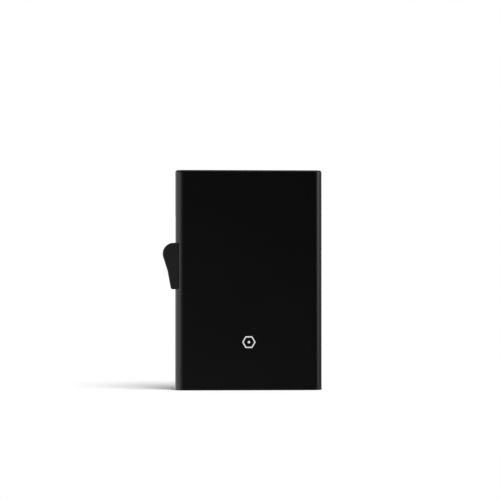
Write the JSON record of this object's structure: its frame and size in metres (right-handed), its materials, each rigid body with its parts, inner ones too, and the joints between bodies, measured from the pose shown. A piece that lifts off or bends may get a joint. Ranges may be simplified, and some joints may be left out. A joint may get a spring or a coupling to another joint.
{
  "type": "minimalist wallet",
  "caption": "Slim black metal card case with a fin-shaped slider on its left side that lifts the cards out of the open end as a stepped fan.",
  "frame": {"origin": "centre of the case's flat lower face, at its closed end", "axes": "+Z from the closed end to the mouth, -Y out of the front that carries the mark, -X towards the slider"},
  "size_m": [0.071, 0.008, 0.098],
  "materials": {
    "black_anodised": "satin black anodised",
    "trigger_plastic": "matte black",
    "inner_plastic": "matte dark grey",
    "mark_grey": "light grey fill",
    "steel": "brushed",
    "steel_black": "blackened",
    "felt": "felt",
    "rubber": "matte"
  },
  "bodies": {
    "case": {"case_shell": "black_anodised", "bottom_cap": "black_anodised", "mark_inlay": "mark_grey", "left_rail": "inner_plastic", "right_rail": "inner_plastic", "mouth_collar": "inner_plastic", "front_lining": "felt", "rear_lining": "felt", "upper_bumper": "rubber", "lower_bumper": "rubber", "cap_screws": "steel_black"},
    "slider": {"lift_arm": "steel", "step_block": "inner_plastic", "step_rivets": "steel", "guide_shoe": "inner_plastic", "slot_shutter": "inner_plastic", "drag_leaf": "steel", "trigger_core": "inner_plastic", "trigger_pad": "trigger_plastic", "trigger_pins": "steel"}
  },
  "joints": [
    {"name": "card_lift", "type": "slide", "parent": "case", "child": "slider", "axis": [0, 0, 1], "range_m": [0, 0.0155]}
  ]
}
